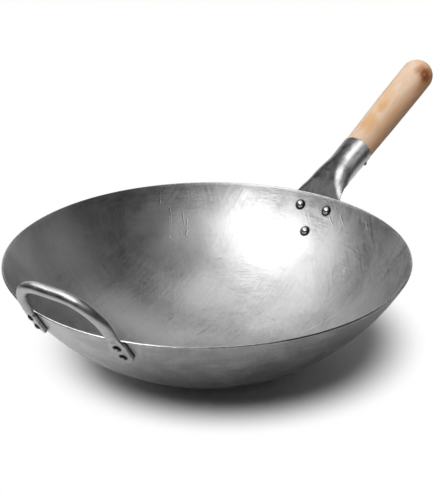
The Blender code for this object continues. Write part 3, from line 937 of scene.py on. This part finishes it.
def bowl_finish():
    mat = Finish("polished_bowl_steel")
    clouds = mat.noise(mat.spot, 24.0, 6.0, 0.62, 1.4)
    grain = mat.noise(mat.spot, 1500.0, 2.0, 0.6)
    calm = mat.remap(mat.away(CALM_PLACE), *CALM_REACH, CALM_SHARE, 1.0)
    streaks = mat.times(polish_marks(mat), calm)
    marks = scratch_marks(mat)
    cloudy = mat.remap(clouds, *CLOUD_RANGE, -CLOUD_REACH, CLOUD_REACH)
    tone = mat.times(streaks, 0.9, mat.times(cloudy, calm))
    tone = mat.maths("ADD", mat.maths("SUBTRACT", grain, 0.5), tone)
    outside = mat.remap(mat.away(DISH_MIDDLE), DISH_RADIUS - BOWL_SHEET,
                        DISH_RADIUS - OUTSIDE_DEPTH, 1.0, OUTSIDE_GAIN)
    tone = mat.times(tone, outside, 0.5)
    rough = mat.times(streaks, 0.2, mat.remap(clouds, *CLOUD_RANGE, *BOWL_ROUGHNESS))
    lip = lip_mask(mat)
    rough = mat.times(rough, mat.maths("SUBTRACT", 1.0, lip))
    relief = mat.bump(streaks, 0.33, 0.0005)
    relief = mat.bump(mat.times(marks, -1.0), 0.35, 0.0003, relief)
    mat.surface(Base_Color=bowl_colour(mat, tone, marks), Metallic=1.0,
                Roughness=mat.times(lip, LIP_ROUGHNESS, rough), Normal=relief)
    return mat


bowl_steel = bowl_finish()
bowl_steel.wear(bowl)
print("nodes in the bowl's finish:", bowl_steel.count)

# %% [markdown]
# ## Steel of the socket, the loop and the rivets
# These pieces are small, so their brushing runs straight along them. One function makes
# them all, with the grey, the gloss and the brushing's direction as its values. Round
# the rivets' seats it darkens the steel as painted shade.

# %% Finish of the smaller steel pieces
ROUGHNESS_SPREAD = (-0.05, 0.07)


def small_steel(name, level, roughness, fineness, wear, painted_shades):
    """Brushed steel, with a fineness of its lines along X, Y and Z.

    A painted shade gives seats, and how far from them the steel is unshaded and where dark.
    """
    mat = Finish(name)
    lines = mat.noise(mat.spot, fineness, 3.0, 0.6)
    clouds = mat.noise(mat.spot, 90.0, 4.0, 0.6, 0.8)
    tone = mat.remap(mat.times(lines, 0.35, clouds), 0.45, 0.90)
    colour = mat.blend(tone, grey(level * (1 - wear)), grey(level * (1 + wear)))
    for centres, unshaded_at, shaded_at in painted_shades:
        mask = painted_rivet_shade_mask(mat, centres, *sorted((unshaded_at, shaded_at)))
        tones = (colour, PAINTED_CREASE_SHADE) if unshaded_at < shaded_at else (PAINTED_CREASE_SHADE, colour)
        colour = mat.blend(mask, *tones)
    gloss = mat.remap(clouds, 0.3, 0.7, *(roughness + v for v in ROUGHNESS_SPREAD))
    mat.surface(Base_Color=colour, Metallic=1.0, Roughness=gloss,
                Normal=mat.bump(lines, 0.07, 0.0003))
    return mat


# painted shade: dark rings on the feet round the formed heads, and on the edges of the rivets'
# heads
FOOT_PAINTED_SHADE = (HELPER_TAIL_SEATS, HELPER_TAIL[0] + 0.0012, HELPER_TAIL[0] + 0.0002)
HEAD_PAINTED_SHADE = (HEAD_SEATS, 0.0034, 0.0043)
HELPER_PAINTED_SHADE = (HELPER_TAIL_SEATS + HELPER_HEAD_SEATS, 0.0015, 0.0024)
# pieces, name, grey, roughness, fineness, wear and painted crease shade of each steel
SMALL_STEELS = (
    ([socket], "brushed_socket_steel", 0.47, 0.40, (60, 500, 60), 0.28, ()),
    ([loop], "forged_loop_steel", 0.40, 0.36, (300, 80, 300), 0.12, (FOOT_PAINTED_SHADE,)),
    (handle_rivets, "rivet_steel", 0.55, 0.24, (400, 400, 400), 0.12, (HEAD_PAINTED_SHADE,)),
    (helper_rivets, "helper_rivet_steel", 0.42, 0.30, (400, 400, 400), 0.12, (HELPER_PAINTED_SHADE,)),
    ([nail], "dark_nail_steel", 0.07, 0.45, (400, 400, 400), 0.30, ()))
for pieces, *values in SMALL_STEELS:
    steel = small_steel(*values)
    for piece in pieces:
        steel.wear(piece)
    print(f"{values[0]}: {steel.count} nodes, on {len(pieces)} pieces")

# %% [markdown]
# ## The wood
# The grip is a pale, close-grained wood. Its grain runs along the axis, so the noise is
# squeezed across and stretched along Z. A few warm tan patches lie on the upper side,
# and a brown knot sits near the end, with a streak that trails along the grain. The
# side that lies in shade is painted a warmer brown, as painted shade.

# %% Finish of the grip
WOOD_PALE = (0.555, 0.43, 0.32, 1.0)
WOOD_ROSE = (0.535, 0.375, 0.27, 1.0)
WOOD_TAN = (0.50, 0.28, 0.12, 1.0)
WOOD_GRAIN = (0.43, 0.26, 0.15, 1.0)
WOOD_PAINTED_SHADE = (0.66, 0.37, 0.205, 1.0)
KNOT_BROWN = (0.15, 0.036, 0.010, 1.0)
KNOT_CORE = (0.42, 0.155, 0.045, 1.0)
PAINTED_SHADE_SIDE = Vector((-0.40, 0.92, 0.0))  # the shaded side, painted browner as painted shade
KNOT_PLACE = Vector((0.0090, 0.0140, 0.1190))
KNOT_TRAIL = KNOT_PLACE + Vector((-0.0040, 0.0020, -0.0100))
# centre and size of each patch in the grip's own frame, how strong it shows, its
# colour, and 1 for a ragged edge
PATCHES = (
    ((0.0158, 0.0040, 0.0200), (0.0060, 0.0050, 0.0090), 0.55, WOOD_TAN, 1),
    ((0.0161, 0.0010, 0.0290), (0.0060, 0.0048, 0.0110), 0.75, WOOD_TAN, 1),
    ((0.0160, 0.0030, 0.0530), (0.0060, 0.0032, 0.0080), 0.90, WOOD_TAN, 1),
    ((0.0160, 0.0000, 0.0620), (0.0060, 0.0050, 0.0150), 0.50, WOOD_TAN, 1),
    ((0.0080, 0.0140, 0.0500), (0.0050, 0.0045, 0.0200), 0.35, WOOD_TAN, 1),
    ((0.0120, -0.0090, 0.0800), (0.0050, 0.0040, 0.0120), 0.25, WOOD_TAN, 1),
    ((0.0150, 0.0050, 0.1290), (0.0050, 0.0040, 0.0040), 0.30, WOOD_TAN, 1),
    (KNOT_TRAIL, (0.0035, 0.0030, 0.0110), 0.45, KNOT_CORE, 1),
    (KNOT_PLACE, (0.0085, 0.0075, 0.0095), 0.65, KNOT_CORE, 1),
    (KNOT_PLACE, (0.0056, 0.0052, 0.0062), 0.85, KNOT_BROWN, 1),
    (KNOT_PLACE, (0.0014, 0.0014, 0.0016), 0.70, KNOT_CORE, 0))


def patch_mask(mat, centre, size, blur):
    """1 at a soft oval patch of the given size in X, Y and Z, 0 away from it."""
    offset = mat.vectors("SUBTRACT", mat.spot, centre)
    away = mat.vectors("LENGTH", mat.vectors("DIVIDE", offset, size))
    return mat.remap(mat.maths("ADD", away, blur), 0.4, 2.0, 1.0, 0.0)


def wood_finish():
    mat = Finish("pale_turned_wood", mouth_frame())
    grain = mat.noise(mat.spot, (620, 620, 26), 4.0, 0.6, 0.4)
    bands = mat.noise(mat.spot, (110, 110, 30), 4.0, 0.6, 1.6)
    blur = mat.swing(mat.noise(mat.spot, (150, 150, 60), 3.0), 2.4)
    colour = mat.blend(mat.remap(bands, 0.38, 0.62), WOOD_PALE, WOOD_ROSE)
    across = mat.vectors("MULTIPLY", mat.spot, (1, 1, 0))
    # painted shade: the wood turns browner towards the side that lies in shade
    shade = mat.vectors("DOT_PRODUCT", mat.vectors("NORMALIZE", across), PAINTED_SHADE_SIDE)
    colour = mat.blend(mat.remap(shade, -0.1, 1.0, 0.0, 0.75), colour, WOOD_PAINTED_SHADE)
    colour = mat.tint(colour, mat.remap(grain, 0.50, 0.72), 0.25, WOOD_GRAIN)
    for centre, size, strength, patch_tone, ragged in PATCHES:
        mask = patch_mask(mat, centre, size, blur if ragged else 0.0)
        colour = mat.tint(colour, mask, strength, patch_tone)
    mat.surface(Base_Color=colour, Roughness=mat.remap(grain, 0.3, 0.7, 0.55, 0.68),
                Specular_IOR_Level=0.22, Normal=mat.bump(grain, 0.25, 0.0003))
    return mat


grip_wood = wood_finish()
grip_wood.wear(grip)
print("nodes in the wood's finish:", grip_wood.count)

# %% [markdown]
# ## The white ground
# The photograph shows a white ground with one soft shadow. The floor is a plain white
# sheet: near the wok it is lit and shaded like any paper, and further out the camera
# sees an even white, so no lamp has to be too strong. In the steel's mirror the sheet
# turns white too, and then it ends about half a metre out, as a real sheet does.

# %% The floor and its material
FLOOR_SIZE = 12.0
FLOOR_DROP = 0.0002
SHADOW_MIDDLE = Vector((0.049, 0.014, 0.0))
SEEN_WHITE = (0.126, 0.186)  # how far from there the camera sees the ground white
MIRROR_MIDDLE = Vector((0.035, -0.112, 0.0))
MIRRORED_WHITE = (0.165, 0.36)  # and from there in the steel's mirror
SHEET_EDGE = (0.45, 0.65)  # where the sheet ends
SHEET_WHITE, BEYOND_SHEET = grey(0.93), grey(0.04)
bpy.ops.mesh.primitive_circle_add(
    vertices=96, radius=FLOOR_SIZE / 2, fill_type="NGON", location=(0.0, 0.0, -FLOOR_DROP))
floor = bpy.context.object
floor.name = "white_floor"
ground = Finish("white_ground")
sheet = ground.remap(ground.vectors("LENGTH", ground.spot), *SHEET_EDGE, 1.0, 0.0)
ground.surface(Base_Color=ground.blend(sheet, BEYOND_SHEET, SHEET_WHITE),
               Roughness=0.9, Specular_IOR_Level=0.1)
rays = ground.add("LightPath").outputs
mirrored = ground.maths("MAXIMUM", rays["Is Glossy Ray"], rays["Is Transmission Ray"])
seen = ground.remap(ground.away(SHADOW_MIDDLE), *SEEN_WHITE)
glint = ground.remap(ground.away(MIRROR_MIDDLE), *MIRRORED_WHITE)
share = ground.times(ground.times(mirrored, sheet), glint,
                     ground.times(rays["Is Camera Ray"], seen))
glow = ground.add("Emission", {"Color": grey(1.0), "Strength": 1.0})
both = ground.add("MixShader", {0: share, 1: ground.shader.outputs[0], 2: glow.outputs[0]})
ground.feed(ground.tree.nodes["Material Output"].inputs["Surface"], both.outputs[0])
ground.wear(floor)
floor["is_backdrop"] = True
print("the white ground is", FLOOR_SIZE, "m across")

# %% [markdown]
# ## Light
# The highlight inside the bowl shows where the main light stands: high up on the left,
# and wide, because its edge is soft. Weaker soft lights stand further left, above, in
# front, on the right and behind the wok, and fill what the main light leaves dark.

# %% Lamps for the bowl
VIEW_AZIMUTH = radians(-142.76)  # from the wok to the camera
LIGHT_TARGET = Vector((0.0, 0.0, 0.06))
# name, azimuth, elevation, distance, size and power of each softbox
SOFTBOXES = (
    ("main_softbox", -60, 60, 1.5, (1.30, 0.75), 13.9),
    ("left_softbox", -128, 46, 1.5, (1.40, 0.60), 5.2),
    ("top_softbox", -160, 76, 1.5, (0.90, 0.70), 3.2),
    ("front_softbox", 10, 66, 1.5, (0.90, 0.50), 1.3),
    ("right_softbox", 118, 30, 1.5, (0.60, 0.40), 0.4),
    ("back_softbox", 165, 42, 1.5, (1.10, 0.50), 1.9))


def toward(azimuth, elevation):
    """Direction from the wok: azimuth 0 is at the camera, + is right in the picture."""
    turn = VIEW_AZIMUTH + radians(azimuth)
    rise = radians(elevation)
    return Vector((cos(rise) * cos(turn), cos(rise) * sin(turn), sin(rise)))


def soft_light(name, azimuth, elevation, distance, size, power):
    """A rectangular soft light that faces the wok, at a distance in metres."""
    data = set_all(bpy.data.lights.new(name, "AREA"), shape="RECTANGLE", size=size[0],
                   size_y=size[1], energy=power)
    lamp = bpy.data.objects.new(name, data)
    direction = toward(azimuth, elevation)
    lamp.location = LIGHT_TARGET + direction * distance
    lamp.rotation_euler = direction.to_track_quat("Z", "Y").to_euler()
    lamp.visible_camera = False
    scene.collection.objects.link(lamp)
    print(f"{name}: {power} W")
    return lamp


softboxes = [soft_light(*values) for values in SOFTBOXES]

# %% [markdown]
# The socket is a grey face beside a bright fold, so in the studio it had a light of its
# own: a narrow strip from high on the left to half way down on the right. A wider strip
# lights the grip, and two small lights fill the socket's sides. Dark cards keep these off
# the bowl, the softboxes off the socket, and the one behind the wok off the loop. Here
# light linking stands for the cards: a lamp has a list of pieces to light or leave out.

# %% Light for the handle
HANDLE_LIGHT_AIM = Vector((0.27, 0.0, 0.14))
STRIP_ENDS = ((-48, 66), (90, 50))  # azimuth and elevation, left and right
STRIP_DISTANCE = 0.60
# name, width and power of each strip, and what it lights
STRIPS = (("socket_strip", 0.22, 2.2, (socket, nail)),
          ("grip_strip", 0.30, 2.8, (grip,)))
SOCKET_FILLS = (
    ("socket_left_fill", -84, 40, 1.2, (0.60, 0.50), 0.50),
    ("socket_right_fill", 85, 25, 1.2, (0.50, 0.45), 0.80))


def link_light(lamp, pieces, state):
    """Let a lamp light only some pieces (INCLUDE) or all but them (EXCLUDE)."""
    group = bpy.data.collections.new(lamp.name + "_pieces")
    for piece in pieces:
        group.objects.link(piece)
    lamp.light_linking.receiver_collection = group
    for entry in group.collection_objects:
        entry.light_linking.link_state = state


def make_strip_light(name, width, power):
    left, right = (toward(*end) for end in STRIP_ENDS)
    middle = (left + right).normalized()
    along = (right - left).normalized()
    length = (right - left).length * STRIP_DISTANCE
    lamp = soft_light(name, 0, 60, 1.0, (length, width), power)
    turn = Matrix((along, middle.cross(along), middle)).transposed().to_4x4()
    lamp.matrix_world = Matrix.Translation(HANDLE_LIGHT_AIM + middle * STRIP_DISTANCE) @ turn
    return lamp


for *values, pieces in STRIPS:
    link_light(make_strip_light(*values), pieces, "INCLUDE")
for values in SOCKET_FILLS:
    link_light(soft_light(*values), (socket,), "INCLUDE")
for lamp in softboxes:
    spared = (socket, loop) if lamp.name == "back_softbox" else (socket,)
    link_light(lamp, spared, "EXCLUDE")
print("lamps in all:", len(SOFTBOXES) + len(STRIPS) + len(SOCKET_FILLS))

# %% [markdown]
# ## The room
# The room is dim, so that the steel has something dark to mirror. The backdrop behind
# the wok is a white band in the surroundings that fades out upward and to both sides.
# Only the camera and the mirrored rays see it.

# %% Make the room
ROOM_LEVEL = 0.055
BACKDROP_TOP = (0.15, 0.50)  # sine of the elevation where the white band fades out
BACKDROP_SIDES = (0.45, 0.95)  # and cosine of the angle from its middle
world = bpy.data.worlds.new("studio")
scene.world = world
world.use_nodes = True
room = NodeMaker(world.node_tree)
direction = room.add("TexCoord").outputs["Generated"]
behind = room.vectors("DOT_PRODUCT", direction, toward(180, 0))
band = room.times(room.remap(room.split(direction)[2], *BACKDROP_TOP, 1.0, 0.0),
                  room.remap(behind, *BACKDROP_SIDES))
rays = room.add("LightPath").outputs
seen = room.maths("MAXIMUM", rays["Is Camera Ray"], room.times(rays["Is Glossy Ray"], band))
room.feed(world.node_tree.nodes["Background"].inputs["Color"],
          room.blend(seen, grey(ROOM_LEVEL), grey(1.0)))
print("room level:", ROOM_LEVEL)

# %% [markdown]
# ## Camera
# The camera stands where the photographer stood, worked out from the rim's ellipse: a
# little above the wok, some 1.2 m away, with a long lens, so the rim isn't stretched.

# %% Set up the camera
CAMERA_PLACE = Vector((-0.858084, -0.663693, 0.574376))
CAMERA_AIM = Vector((0.731296, 0.555806, -0.395330))
CAMERA_ROLL = -0.0086
CAMERA_LENS = 98.586
camera_data = set_all(bpy.data.cameras.new("photo_camera"), sensor_width=36.0,
                      lens=CAMERA_LENS, clip_end=50.0)
camera = bpy.data.objects.new("photo_camera", camera_data)
camera_turn = CAMERA_AIM.to_track_quat("-Z", "Y").to_matrix().to_4x4()
camera.matrix_world = (Matrix.Translation(CAMERA_PLACE) @ camera_turn
                       @ Matrix.Rotation(CAMERA_ROLL, 4, "Z"))
scene.collection.objects.link(camera)
bpy.context.scene.camera = camera
bpy.context.scene.view_settings.view_transform = "Standard"
print("camera at", rounded(camera.location))

# %% The box of the pieces
bpy.context.view_layer.update()
new_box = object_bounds()
print("box of the pieces in metres:", *map(rounded, new_box))
